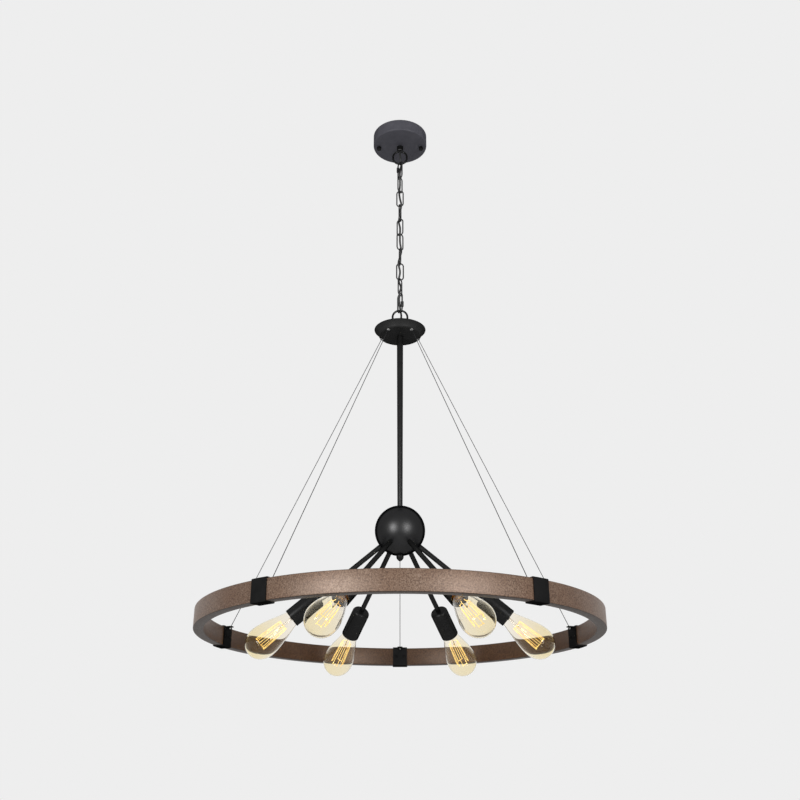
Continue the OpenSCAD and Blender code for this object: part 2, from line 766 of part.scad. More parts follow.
module ring_clamps() {
    angle = clamp_w / ring_r * 180 / PI;
    wall = clamp_t;
    grow = clamp_fit + clamp_t;
    color([0.09, 0.09, 0.09]) for (i = [1:ring_parts]) difference() {
        union() {
            rotate([0, 0, clamp_turn(i) - angle / 2]) rotate_extrude(angle = angle, $fn = 180)
                ring_section(clamp_inner_r, ring_top - ring_h - grow, ring_w + 2 * grow,
                    ring_h + 2 * grow, wall);
            rotate([0, 0, clamp_turn(i)]) translate([clamp_inner_r - tab_l, -tab_w / 2, tab_z])
                cube([tab_l + clamp_t / 2, tab_w, clamp_t]);
        }
        rotate([0, 0, clamp_turn(i)])
            translate([wire_ring_r - clamp_t / 2 * tan(wire_lean), 0, tab_z - cut])
                cylinder(d = wire_hole(clamp_t), h = clamp_t + 2 * cut);
        for (side = [-1, 1])
            at_screw(i, side) translate([clamp_inner_r - cut, 0, ring_top - ring_h / 2])
                rotate([0, 90, 0]) cylinder(d = screw_d + 2 * fit, h = clamp_t + 2 * cut);
    }
}

module clamp_screws() {
    head_h = 2.2;
    shank_l = clamp_t + clamp_fit + ring_wall + screw_reach;
    // The flat head bears on the two sides of the curved strip
    seat_r = sqrt(pow(clamp_inner_r, 2) - pow(screw_head_d / 2, 2));
    color([0.09, 0.09, 0.09])
        for (i = [1:ring_parts], side = [-1, 1])
            at_screw(i, side) translate([seat_r, 0, ring_top - ring_h / 2])
                rotate([0, 90, 0]) {
                    cylinder(d = screw_d, h = shank_l);
                    translate([0, 0, -head_h]) cylinder(d = screw_head_d, h = head_h);
                }
}

// Places an upright child on a wire's line, with +Z down along the wire
module on_wire(i, r, z) {
    rotate([0, 0, clamp_turn(i)]) translate([r, 0, z]) rotate([0, 180 - wire_lean, 0]) children();
}

module suspension_wires() {
    tail = hub_wall / cos(wire_lean) + stop_d + wire_tail;
    end = stop_d + wire_tail;
    run = (floor_z - tab_z) / cos(wire_lean);
    color([0.55, 0.55, 0.56])
        for (i = [1:ring_parts])
            on_wire(i, wire_hub_r, floor_z) translate([0, 0, -tail])
                cylinder(d = wire_d, h = tail + run + end);
}

module wire_stops() {
    bore = wire_d + 2 * sleeve_fit;
    above = (hub_wall + stop_d / 2 + fit) / cos(wire_lean);
    below = (stop_d / 2 + fit) / cos(wire_lean);
    color([0.72, 0.72, 0.73])
        for (i = [1:ring_parts]) {
            on_wire(i, wire_hub_r, floor_z) translate([0, 0, -above]) wire_ball(bore);
            on_wire(i, wire_ring_r, tab_z) translate([0, 0, below]) wire_ball(bore);
            rotate([0, 0, clamp_turn(i)]) translate([wire_hub_r, 0, floor_z - bushing_h])
                difference() {
                    cylinder(d = bushing_d, h = bushing_h);
                    translate([0, 0, -cut])
                        cylinder(d = wire_hole(hub_wall + bushing_h), h = bushing_h + 2 * cut);
                }
        }
}

module wire_ball(bore) {
    difference() {
        sphere(d = stop_d);
        translate([0, 0, -stop_d]) cylinder(d = bore, h = 2 * stop_d);
    }
}

mounting_crossbar();
canopy_studs();
canopy_cap_nuts();
canopy_shell();
canopy_nipple();
canopy_loop();
supply_cord();
upper_quick_link();
upper_link_sleeve();
for (i = [1:link_count])
    chain_link(i);
lower_quick_link();
lower_link_sleeve();
hub_loop();
hub_lid();
hub_bowl();
hub_nipple();
rod_lock_nuts();
stem();
ball_upper_half();
ball_lower_half();
ball_rod();
finial();
arm_tubes();
arm_nuts();
for (i = [1:arm_count])
    socket_cup(i);
lampholders();
lampholder_contacts();
for (i = [1:arm_count])
    bulb_glass(i);
for (i = [1:arm_count])
    bulb_cap(i);
for (i = [1:ring_parts])
    ring_segment(i);
ring_clamps();
clamp_screws();
suspension_wires();
wire_stops();
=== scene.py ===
from math import asin, atan2, cos, degrees, pi, radians, sin, sqrt

import bmesh
import bpy
from mathutils import Matrix, Vector


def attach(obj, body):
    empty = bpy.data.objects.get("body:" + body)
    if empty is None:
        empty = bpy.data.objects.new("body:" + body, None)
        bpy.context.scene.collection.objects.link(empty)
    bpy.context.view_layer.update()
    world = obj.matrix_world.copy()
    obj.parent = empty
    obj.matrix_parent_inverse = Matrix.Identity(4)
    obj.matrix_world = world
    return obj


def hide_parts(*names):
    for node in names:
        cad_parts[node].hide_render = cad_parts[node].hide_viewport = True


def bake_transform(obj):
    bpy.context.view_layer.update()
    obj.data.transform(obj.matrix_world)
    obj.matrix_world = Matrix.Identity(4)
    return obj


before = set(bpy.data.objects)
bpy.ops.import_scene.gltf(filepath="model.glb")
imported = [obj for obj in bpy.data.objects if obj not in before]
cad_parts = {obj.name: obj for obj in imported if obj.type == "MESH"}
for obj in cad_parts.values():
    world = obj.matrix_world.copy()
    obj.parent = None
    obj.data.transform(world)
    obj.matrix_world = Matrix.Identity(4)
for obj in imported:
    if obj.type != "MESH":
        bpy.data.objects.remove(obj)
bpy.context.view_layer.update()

# Mounting crossbar and its two studs: zinc-plated steel, hidden above the canopy.
# The bar is stamped flat and screwed to the outlet box; the canopy hangs on the studs.


def new_finish(name, **sockets):
    """A material with one shader; underscores in the socket names stand for spaces."""
    finish = bpy.data.materials.new(name)
    finish.use_nodes = True
    shader = finish.node_tree.nodes["Principled BSDF"]
    for socket, value in sockets.items():
        shader.inputs[socket.replace("_", " ")].default_value = value
    return finish, shader


def add_node(finish, kind, inputs=None, **settings):
    """One node of a finish; an input is another node's output or a plain value."""
    node = finish.node_tree.nodes.new("ShaderNode" + kind)
    for key, value in settings.items():
        setattr(node, key, value)
    for socket, value in (inputs or {}).items():
        if isinstance(value, bpy.types.NodeSocket):
            finish.node_tree.links.new(value, node.inputs[socket])
        else:
            node.inputs[socket].default_value = value
    return node


def place_on(finish):
    """The point on the piece, in metres, that every pattern reads."""
    return add_node(finish, "TexCoord").outputs["Object"]


def cloud(finish, scale, detail=3.0, roughness=0.55):
    """Soft irregular patches, about 1/scale metres across."""
    inputs = {"Vector": place_on(finish), "Scale": scale, "Detail": detail, "Roughness": roughness}
    return add_node(finish, "TexNoise", inputs).outputs["Fac"]


def ramp(finish, value, stops):
    """Turns a pattern's value into colours: stops are (value, colour) pairs."""
    node = add_node(finish, "ValToRGB", {"Fac": value})
    points = node.color_ramp.elements
    while len(points) < len(stops):
        points.new(0.5)
    for point, (where, colour) in zip(points, stops):
        point.position = where
        point.color = (*colour, 1.0)
    return node.outputs["Color"]


def spread(finish, value, low, high):
    """Maps a pattern's middle range to numbers from low to high."""
    inputs = {"Value": value, "From Min": 0.3, "From Max": 0.7, "To Min": low, "To Max": high}
    return add_node(finish, "MapRange", inputs).outputs["Result"]


def connect(finish, output, shader, socket):
    finish.node_tree.links.new(output, shader.inputs[socket])


FINE_GRAIN = 0.0001


def emboss(finish, shader, height, strength, depth=FINE_GRAIN):
    """Raises the surface where the pattern is high; depth is in metres."""
    node = add_node(finish, "Bump", {"Height": height, "Strength": strength, "Distance": depth})
    connect(finish, node.outputs["Normal"], shader, "Normal")


def metal_finish(name, dark, light, rough, patch=60):
    """Plated or bare metal with cloudy colour, uneven gloss and a fine grain."""
    finish, shader = new_finish(name, Metallic=1.0)
    patches = cloud(finish, patch)
    connect(finish, ramp(finish, patches, [(0.3, dark), (0.7, light)]), shader, "Base Color")
    connect(finish, spread(finish, cloud(finish, 2 * patch), *rough), shader, "Roughness")
    emboss(finish, shader, cloud(finish, 700), 0.15)
    return finish


def dress(finish, *nodes):
    """Gives solids of the frame that stay in view their finish."""
    for name in nodes:
        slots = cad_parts[name].material_slots
        for slot in slots:
            slot.material = finish
        if not slots:
            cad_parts[name].data.materials.append(finish)


zinc = metal_finish("zinc_plate", (0.46, 0.47, 0.48), (0.62, 0.62, 0.60), (0.28, 0.45))
dress(zinc, "mounting_crossbar", "canopy_studs", "canopy_nipple", "hub_nipple", "rod_lock_nuts",
      "ball_rod", "arm_nuts")

# Canopy: a shallow cup of sheet steel, spun to shape and coated satin black.
# Its open top lies on the ceiling, and its floor carries the chain's loop.


def draw_outline(bm, corners):
    """A closed outline in the XZ plane, from corners (radius, height) in millimetres."""
    points = [bm.verts.new((r, 0, z)) for r, z in corners]
    for a, b in zip(points, points[1:] + points[:1]):
        bm.edges.new((a, b))
    return points


def half_section(corners, rounding=None):
    """The outline of a turned piece; rounding gives a corner, by its number, the size of its
    round."""
    bm = bmesh.new()
    points = draw_outline(bm, corners)
    for corner, size in (rounding or {}).items():
        bmesh.ops.bevel(bm, geom=[points[corner]], offset=size, offset_type="OFFSET", segments=6,
                        profile=0.5, affect="VERTICES", material=-1)
    return bm


def turn(bm, steps=96):
    """Spins the outline round the Z axis into a closed solid."""
    bmesh.ops.spin(bm, geom=bm.verts[:] + bm.edges[:], cent=(0, 0, 0), axis=(0, 0, 1), dvec=(0, 0, 0),
                   angle=2 * pi, steps=steps, use_merge=True)
    bmesh.ops.remove_doubles(bm, verts=bm.verts, dist=0.001)
    on_axis = [edge for edge in bm.edges if not edge.link_faces]
    bmesh.ops.delete(bm, geom=on_axis, context="EDGES")
    bmesh.ops.recalc_face_normals(bm, faces=bm.faces)
    return bm


def fit(bm, name, finish, body, nodes, place=Matrix(), crease=35):
    """Turns millimetres into metres, shades the faces smooth up to the crease angle, and hangs
    the piece on its body in place of its solids. A piece without a body is left loose."""
    bmesh.ops.transform(bm, matrix=Matrix.Scale(0.001, 4) @ place, verts=bm.verts)
    for edge in bm.edges:
        edge.smooth = edge.calc_face_angle(pi) < radians(crease)
    for face in bm.faces:
        face.smooth = True
    mesh = bpy.data.meshes.new(name)
    bm.to_mesh(mesh)
    bm.free()
    mesh.materials.append(finish)
    piece = bpy.data.objects.new(name, mesh)
    bpy.context.scene.collection.objects.link(piece)
    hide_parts(*nodes)
    if body:
        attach(piece, body)
    return piece


EDGE_ON_FROM, EDGE_ON_TO = 0.05, 0.6


def powder_coat(name, dark, light, rough, grain=1100, relief=0.03, specular=0.2):
    """Baked black powder paint: faint cloudiness, uneven gloss that dies away where the surface
    is seen edge-on, and a fine orange peel."""
    finish, shader = new_finish(name, Metallic=0.0)
    edge_on = add_node(finish, "LayerWeight", {"Blend": 0.5}).outputs["Facing"]
    sheen = add_node(finish, "MapRange", {"Value": edge_on, "From Min": EDGE_ON_FROM,
                                          "From Max": EDGE_ON_TO, "To Min": specular, "To Max": 0.0})
    connect(finish, sheen.outputs["Result"], shader, "Specular IOR Level")
    connect(finish, ramp(finish, cloud(finish, 45), [(0.3, dark), (0.7, light)]), shader, "Base Color")
    connect(finish, spread(finish, cloud(finish, 130), *rough), shader, "Roughness")
    emboss(finish, shader, cloud(finish, grain, 2.0), relief)
    return finish


CANOPY_R, CANOPY_H, SHEET, NIPPLE_HOLE_R = 65, 30, 1.2, 4.2
canopy_paint = powder_coat("canopy_black", (0.070, 0.069, 0.082), (0.086, 0.085, 0.100), (0.36, 0.44),
                           specular=0.12)
cup = half_section(
    [(NIPPLE_HOLE_R, -CANOPY_H), (CANOPY_R, -CANOPY_H), (CANOPY_R, 0), (CANOPY_R - SHEET, 0),
     (CANOPY_R - SHEET, SHEET - CANOPY_H), (NIPPLE_HOLE_R, SHEET - CANOPY_H)],
    {1: 3, 2: 0.4, 3: 0.4, 4: 1.8})
fit(turn(cup, 128), "canopy_cup", canopy_paint, "canopy", ["canopy_shell"])

# Cap nuts: two small knobs of steel, turned, straight-knurled and painted black.
# They screw on the studs' ends and draw the canopy up against the ceiling.

black_paint = powder_coat("satin_black", (0.006, 0.006, 0.006), (0.010, 0.010, 0.010), (0.24, 0.30),
                          specular=0.16)
CAP_NUT_R, CAP_NUT_H, CAP_NUT_END, CAP_NUT_BORE_R, CAP_NUT_GAP = 5, 9, 2, 2.1, 0.1
STUD_R, KNURLS, KNURL_VALLEY = 51.5, 60, 0.93
for side, hand in ((-1, "left"), (1, "right")):
    knob = turn(half_section(
        [(0, -CAP_NUT_H), (CAP_NUT_R, -CAP_NUT_H), (CAP_NUT_R, -CAP_NUT_GAP),
         (CAP_NUT_BORE_R, -CAP_NUT_GAP), (CAP_NUT_BORE_R, CAP_NUT_END - CAP_NUT_H),
         (0, CAP_NUT_END - CAP_NUT_H)],
        {1: 2, 2: 0.5}), KNURLS)
    valleys = [v for v in knob.verts if v.co.xy.length > CAP_NUT_R - 0.1
               and round(atan2(v.co.y, v.co.x) / radians(360 / KNURLS)) % 2]
    bmesh.ops.scale(knob, vec=(KNURL_VALLEY, KNURL_VALLEY, 1), verts=valleys)
    fit(knob, f"cap_nut_{hand}", black_paint, "canopy", ["canopy_cap_nuts"],
        Matrix.Translation((side * STUD_R, 0, -CANOPY_H)), crease=25)

# Collar loops: an oval loop of round steel wire set in a threaded collar, painted black.
# One screws up against the canopy, the other down on the hub, and the cord runs through both.


def verts_in(geom):
    return [g for g in geom if isinstance(g, bmesh.types.BMVert)]


def edges_in(geom):
    return [g for g in geom if isinstance(g, bmesh.types.BMEdge)]


def edges_at(verts):
    """Every edge that starts or ends at one of the points, each once."""
    return list(dict.fromkeys(edge for v in verts for edge in v.link_edges))


def bend_wire(bm, inner_l, inner_w, wire, gap=(0, 0), steps=20, sides=20):
    """A long oval of round wire in the XZ plane, its opening's top at the origin.
    gap holds the heights, from the middle of the left side, between which the wire is open."""
    middle = (inner_w + wire) / 2
    straight = inner_l + wire - 2 * middle
    top = wire / 2 - middle
    half = top - straight / 2

    def climb(edges, height):
        moved = bmesh.ops.extrude_edge_only(bm, edges=edges)["geom"]
        bmesh.ops.translate(bm, vec=(0, 0, height), verts=verts_in(moved))
        return [edge for edge in edges_in(moved) if len(edge.link_faces) == 1
                and len({round(v.co.z, 3) for v in edge.verts}) == 1]

    def swing(edges, height):
        return edges_in(bmesh.ops.spin(bm, geom=edges, cent=(0, 0, height), axis=(0, 1, 0),
                                       dvec=(0, 0, 0), angle=pi, steps=steps)["geom_last"])

    first = bmesh.ops.create_circle(bm, segments=sides, radius=wire / 2,
                                    matrix=Matrix.Translation((-middle, 0, half + gap[1])))
    ends = [edges_at(first["verts"])]
    ring = climb(ends[0], straight / 2 - gap[1])
    ring = swing(ring, top)
    ring = climb(ring, -straight)
    ring = swing(ring, top - straight)
    ends.append(climb(ring, straight / 2 + gap[0]))
    if gap[0] != gap[1]:
        for end in ends:
            bmesh.ops.contextual_create(bm, geom=end)
    bmesh.ops.remove_doubles(bm, verts=bm.verts, dist=0.01)
    bmesh.ops.recalc_face_normals(bm, faces=bm.faces)


COLLAR_R, COLLAR_END_R, COLLAR_TAPER, CORD_HOLE_R, GROOVE = 7.5, 6, 3, 2.7, 0.7
LOOP_WIRE, LOOP_L, LOOP_W, LOOP_SINK = 4.5, 33, 29, 2.5
CANOPY_COLLAR_H, HUB_COLLAR_H, HUB_TOP = 14, 11, -537.7
upside_down = Matrix.Rotation(pi, 4, "X")
for name, node, body, collar_h, place in (
        ("canopy_collar_loop", "canopy_loop", "canopy", CANOPY_COLLAR_H,
         Matrix.Translation((0, 0, -CANOPY_H))),
        ("hub_collar_loop", "hub_loop", "lamp", HUB_COLLAR_H,
         Matrix.Translation((0, 0, HUB_TOP)) @ upside_down)):
    collar = turn(half_section(
        [(CORD_HOLE_R, -collar_h), (COLLAR_END_R, -collar_h), (COLLAR_R, COLLAR_TAPER - collar_h),
         (COLLAR_R, -4.6), (COLLAR_R - GROOVE, -4.2), (COLLAR_R - GROOVE, -3.4), (COLLAR_R, -3),
         (COLLAR_R, 0), (CORD_HOLE_R, 0)],
        {1: 0.8, 2: 0.6, 7: 0.5}), 72)
    loop = bmesh.new()
    bend_wire(loop, LOOP_L, LOOP_W, LOOP_WIRE, steps=32, sides=24)
    bmesh.ops.translate(loop, vec=(0, 0, LOOP_SINK - collar_h - LOOP_WIRE), verts=loop.verts)
    mesh = bpy.data.meshes.new(name)
    loop.to_mesh(mesh)
    collar.from_mesh(mesh)
    loop.free()
    bpy.data.meshes.remove(mesh)
    fit(collar, name, black_paint, body, [node], place)

# Quick links: ovals of round steel wire, open on one long side, at both ends of the chain.
# A hexagonal sleeve runs on the thread beside the opening and closes it.

chain_paint = powder_coat("chain_black", (0.010, 0.010, 0.011), (0.022, 0.022, 0.023), (0.28, 0.42),
                          grain=500, relief=0.05, specular=0.35)
QUICK_L, QUICK_W, QUICK_WIRE, OPENING = 44, 13, 3.5, 8
SLEEVE_AF, SLEEVE_L, SLEEVE_SLACK, SLEEVE_CORNER = 7, 12, 0.1, 0.93


def hang(top, turned):
    """Where a piece of the chain hangs: its opening's top and its turn about the vertical."""
    return Matrix.Translation((0, 0, top)) @ Matrix.Rotation(radians(turned), 4, "Z")


def hexagon_ring(bm, across_flats, bore, height):
    """A hexagonal prism with a round bore, standing on the origin."""
    outer = bmesh.ops.create_circle(bm, segments=6, radius=across_flats / sqrt(3))["verts"]
    bmesh.ops.subdivide_edges(bm, edges=edges_at(outer), cuts=3)
    outer = bm.edges[:]
    inner = bmesh.ops.create_circle(bm, segments=24, radius=bore / 2)["verts"]
    faces = bmesh.ops.bridge_loops(bm, edges=outer + edges_at(inner))["faces"]
    raised = bmesh.ops.extrude_face_region(bm, geom=faces, use_keep_orig=True)["geom"]
    bmesh.ops.translate(bm, vec=(0, 0, height), verts=verts_in(raised))
    bmesh.ops.recalc_face_normals(bm, faces=bm.faces)


for name, top, turned, up in (("upper", -78.7, -55, 1), ("lower", -448.0, 126, -1)):
    link = bmesh.new()
    middle = up * SLEEVE_L / 2
    bend_wire(link, QUICK_L, QUICK_W, QUICK_WIRE, (middle - OPENING / 2, middle + OPENING / 2))
    fit(link, f"{name}_oval", chain_paint, f"{name}_link", [f"{name}_quick_link"],
        hang(top, turned))
    sleeve = bmesh.new()
    hexagon_ring(sleeve, SLEEVE_AF, QUICK_WIRE + SLEEVE_SLACK, SLEEVE_L)
    corners = [v for v in sleeve.verts if v.co.xy.length > SLEEVE_AF / sqrt(3) - 0.01]
    bmesh.ops.scale(sleeve, vec=(SLEEVE_CORNER, SLEEVE_CORNER, 1), verts=corners)
    side = Matrix.Translation((-(QUICK_W + QUICK_WIRE) / 2, 0, -QUICK_L / 2 + middle - SLEEVE_L / 2))
    fit(sleeve, f"{name}_hexagon_sleeve", chain_paint, f"{name}_sleeve",
        [f"{name}_link_sleeve"], hang(top, turned) @ side, crease=25)

# Chain: eight ovals of round steel wire, welded shut and painted with the quick links.
# Each hangs in the one above it, turned as it fell.

LINK_L, LINK_W, LINK_WIRE = 41, 12.4, 3
LINK_TOP, LINK_PITCH = -122.4, 40.7
for number, turned in enumerate((50, -12, 74, 150, 28, 102, 5, 58), start=1):
    link = bmesh.new()
    bend_wire(link, LINK_L, LINK_W, LINK_WIRE)
    fit(link, f"oval_link_{number}", chain_paint, f"link_{number}",
        [f"chain_link_{number}"], hang(LINK_TOP - LINK_PITCH * (number - 1), turned))

# Supply cord: one round cord in a black plastic sheath, woven up through the chain from the hub
# to the canopy. It is fixed inside both, and 0.56 m long.


def round_route(points, steps):
    """Fills a given route with a smooth curve through its points."""
    filled = []
    for i in range(len(points) - 1):
        a, b, c, d = (Vector(points[max(0, min(len(points) - 1, i + k))]) for k in (-1, 0, 1, 2))
        for step in range(steps):
            t = step / steps
            filled.append(0.5 * (2 * b + (c - a) * t + (2 * a - 5 * b + 4 * c - d) * t * t
                                 + (3 * b - a - 3 * c + d) * t ** 3))
    return filled + [Vector(points[-1])]


def draw_round(route, radius, sides):
    """A round rod along a route: its ring is carried from point to point and turned with the way."""
    bm = bmesh.new()
    ways = [(b - a).normalized() for a, b in zip(route, route[1:])]
    ways = [ways[0]] + [(a + b).normalized() for a, b in zip(ways, ways[1:])] + [ways[-1]]
    facing = Vector((0, 0, 1)).rotation_difference(ways[0]).to_matrix().to_4x4()
    verts = bmesh.ops.create_circle(bm, segments=sides, radius=radius, cap_ends=True,
                                    matrix=Matrix.Translation(route[0]) @ facing)["verts"]
    ring = edges_at(verts)
    for here, there, way, next_way in zip(route, route[1:], ways, ways[1:]):
        moved = bmesh.ops.extrude_edge_only(bm, edges=ring)["geom"]
        verts = verts_in(moved)
        bmesh.ops.translate(bm, vec=there - here, verts=verts)
        bmesh.ops.rotate(bm, cent=there, matrix=way.rotation_difference(next_way).to_matrix(),
                         verts=verts)
        ring = [edge for edge in edges_in(moved) if all(v in verts for v in edge.verts)]
    bmesh.ops.contextual_create(bm, geom=ring)
    bmesh.ops.recalc_face_normals(bm, faces=bm.faces)
    return bm


cord_skin, shader = new_finish("cord_black", Roughness=0.5, Specular_IOR_Level=0.3)
tone = ramp(cord_skin, cloud(cord_skin, 90), [(0.3, (0.006, 0.006, 0.006)), (0.7, (0.012, 0.012, 0.012))])
connect(cord_skin, tone, shader, "Base Color")
emboss(cord_skin, shader, cloud(cord_skin, 1500), 0.1)
CORD_D, CORD_STEPS, BEND_REACH = 4.6, 6, 12
cord_route = (
    (0, 0, -14), (0, 0, -32), (0, 0, -48), (1, 2, -62), (2.7, 5.5, -80), (0.5, -0.5, -101),
    (-0.5, -7.5, -123), (0, 0, -143), (-1.8, 5, -163.5), (0, 0, -184), (3, -5, -204.5), (0, 0, -224.5),
    (-2.6, 6.8, -245), (0, 0, -265.5), (0, -5, -286), (0, 0, -306), (3, 6.6, -326.5), (0, 0, -346.5),
    (-3.6, -4.9, -367), (0, 0, -387.5), (-2.9, 4.7, -408), (2.1, 0, -428), (-0.5, -8.5, -447),
    (-1.8, -1.6, -467.3), (2, 5.8, -491.5), (2.8, 1.9, -505), (0, 0, -520), (0, 0, -534), (0, 0, -548))
pivots = [-81.25, -124.45, -164.9, -205.6, -246.3, -287.0, -327.7, -368.4, -409.1, -449.8, -493.75]
cord_line = round_route(cord_route, CORD_STEPS)
# It is drawn in stretches that part in the middle of each link, at every second point of the
# route, so that each crosses one hinge.
LINK_MIDDLES = range(5, 25, 2)
parting = [0] + [CORD_STEPS * i for i in LINK_MIDDLES] + [len(cord_line) - 1]
for number, pivot in enumerate(pivots):
    stretch = draw_round(cord_line[parting[number]:parting[number + 1] + 1], CORD_D / 2, 16)
    piece = fit(stretch, f"cord_stretch_{number + 1}", cord_skin, None, ["supply_cord"])
    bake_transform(piece)

# Hub: a shallow bowl of spun sheet steel with a slightly domed lid, both satin black.
# Bowl and lid are clamped between the loop's collar and the stem by a hollow nipple.

RIM_Z, HUB_H, HUB_R, HUB_FLOOR_R = -539.7, 15.7, 57.5, 47
HUB_FLARE, FLARE_STEP, FLARE_POINTS, BOWL_ROUND = 2.6, pi / 28, 11, 3
LID_R, LID_T, LID_RISE = 53.6, 1.5, 2
FLOOR_Z = RIM_Z - HUB_H


def bowl_side(rim, floor, height):
    """The bowl's side: it flares from the rim and falls ever less steeply to the floor."""
    flare = [(floor + (rim - floor) * cos(FLARE_STEP * i) ** HUB_FLARE,
              -height * sin(FLARE_STEP * i) ** HUB_FLARE) for i in range(FLARE_POINTS)]
    return flare + [(floor, -height)]


hub_paint = powder_coat("hub_black", (0.017, 0.017, 0.017), (0.024, 0.024, 0.024), (0.46, 0.56),
                        specular=0.06)
lining = bowl_side(HUB_R - SHEET, HUB_FLOOR_R - SHEET / 2, HUB_H - SHEET)
bowl = half_section(bowl_side(HUB_R, HUB_FLOOR_R, HUB_H)
                    + [(NIPPLE_HOLE_R, -HUB_H), (NIPPLE_HOLE_R, SHEET - HUB_H)] + lining[::-1],
                    {FLARE_POINTS: BOWL_ROUND, FLARE_POINTS + 3: BOWL_ROUND - 1})
fit(turn(bowl, 128), "hub_spun_bowl", hub_paint, "lamp", ["hub_bowl"],
    Matrix.Translation((0, 0, RIM_Z)))
dome = [(LID_R * x, LID_RISE * (1 - x * x))
        for x in (1, 0.97, 0.9, 0.8, 0.65, 0.5, 0.3, NIPPLE_HOLE_R / LID_R)]
lid = half_section(dome + [(r, z - LID_T) for r, z in dome[::-1]], {0: 0.4})
fit(turn(lid, 128), "hub_domed_lid", hub_paint, "lamp", ["hub_lid"],
    Matrix.Translation((0, 0, RIM_Z)))

# Stem: a steel tube that narrows a little towards the ball, painted black.
# It is screwed on the hub's nipple above and on the ball's rod below.

STEM_TOP_R, STEM_END_R, STEM_BORE_R, STEM_L = 7, 5.4, 4.1, 398
stem_tube = half_section([(STEM_BORE_R, 0), (STEM_END_R, 0), (STEM_TOP_R, STEM_L), (STEM_BORE_R, STEM_L)],
                         {1: 0.4, 2: 0.5})
fit(turn(stem_tube, 64), "stem_tube", black_paint, "lamp", ["stem"],
    Matrix.Translation((0, 0, FLOOR_Z - STEM_L)))

# Ball: a hollow steel ball, welded from two pressed halves, ground smooth and painted black.
# It is drilled for the rod and the six arms; a small pointed knob closes the rod below.

ARMS, BALL_R, BALL_Z, ARM_HOLE_R, ARM_TILT = 6, 51.75, -1004.98, 4.2, 39.8


def drill(piece, bits):
    """Cuts the holes that a set of drill bits leaves in a piece."""
    mesh = bpy.data.meshes.new("bits")
    bits.to_mesh(mesh)
    bits.free()
    cutter = bpy.data.objects.new("bits", mesh)
    bpy.context.scene.collection.objects.link(cutter)
    hole = piece.modifiers.new("holes", "BOOLEAN")
    hole.operation, hole.solver, hole.object = "DIFFERENCE", "EXACT", cutter
    bpy.context.view_layer.update()
    drilled = bpy.data.meshes.new_from_object(
        piece.evaluated_get(bpy.context.evaluated_depsgraph_get()))
    piece.modifiers.remove(hole)
    piece.data = drilled
    bpy.data.objects.remove(cutter)
    bpy.data.meshes.remove(mesh)


def arm_place(number):
    """Stands a piece on the ball's centre with its Z axis along an arm, outwards."""
    return (Matrix.Translation((0, 0, BALL_Z)) @ Matrix.Rotation(radians(360 / ARMS * (number - 1)), 4, "Z")
            @ Matrix.Rotation(radians(90 + ARM_TILT), 4, "Y"))


def arc(radius, start, end, steps):
    """Points along a round about the origin, from one angle to another in degrees."""
    angles = [radians(start + (end - start) * i / steps) for i in range(steps + 1)]
    return [(radius * cos(a), radius * sin(a)) for a in angles]


ball_paint = powder_coat("ball_black", (0.004, 0.004, 0.0045), (0.006, 0.006, 0.0065), (0.33, 0.37),
                         relief=0.01, specular=0.32)
pole = 90 - degrees(asin(NIPPLE_HOLE_R / BALL_R))
shell = half_section(arc(BALL_R, pole, -pole, 64) + arc(BALL_R - SHEET, -pole, pole, 64))
ball = fit(turn(shell, 128), "hollow_ball", ball_paint, "lamp",
           ["ball_upper_half", "ball_lower_half"], Matrix.Translation((0, 0, BALL_Z)))
bits = bmesh.new()
for number in range(1, ARMS + 1):
    place = Matrix.Scale(0.001, 4) @ arm_place(number) @ Matrix.Translation((0, 0, BALL_R))
    bmesh.ops.create_cone(bits, segments=32, radius1=ARM_HOLE_R, radius2=ARM_HOLE_R, depth=20,
                          cap_ends=True, matrix=place)
drill(ball, bits)
FINIAL_R, FINIAL_RIM_H, FINIAL_POINT_H, FINIAL_SWELL, FINIAL_STEPS = 7.5, 3, 10, 2.4, 16
BALL_SEAT = sqrt(BALL_R ** 2 - NIPPLE_HOLE_R ** 2)
drop = [(FINIAL_R * (1 - (i / FINIAL_STEPS) ** FINIAL_SWELL),
         -FINIAL_RIM_H - FINIAL_POINT_H * i / FINIAL_STEPS) for i in range(FINIAL_STEPS + 1)]
knob = half_section([(0, 0), (FINIAL_R, 0)] + drop, {1: 0.5})
fit(turn(knob, 64), "pointed_finial", black_paint, "lamp", ["finial"],
    Matrix.Translation((0, 0, BALL_Z - BALL_SEAT)))

# Arms: six straight steel tubes, painted black, that radiate down and out from the ball.
# Each end is turned down to a thread, with a nut inside the ball and inside the cup.

ARM_R, ARM_L, THREAD_R, BORE_R, THREAD_IN, THREAD_OUT, CHAMFER = 5, 160, 4, 2.75, 9.36, 12.7, 0.4
for number in range(1, ARMS + 1):
    tube = half_section([(BORE_R, -THREAD_IN), (THREAD_R, -THREAD_IN), (THREAD_R, 0), (ARM_R, 0),
                         (ARM_R, ARM_L), (THREAD_R, ARM_L), (THREAD_R, ARM_L + THREAD_OUT),
                         (BORE_R, ARM_L + THREAD_OUT)], dict.fromkeys((1, 3, 4, 6), CHAMFER))
    fit(turn(tube, 48), f"arm_tube_{number}", black_paint, "lamp", ["arm_tubes"],
        arm_place(number) @ Matrix.Translation((0, 0, BALL_R)))

# Socket cups: deep-drawn steel cups with a rounded closed end, painted black.
# Each sits on the end of its arm and hides the lampholder; its rolled mouth faces outwards.

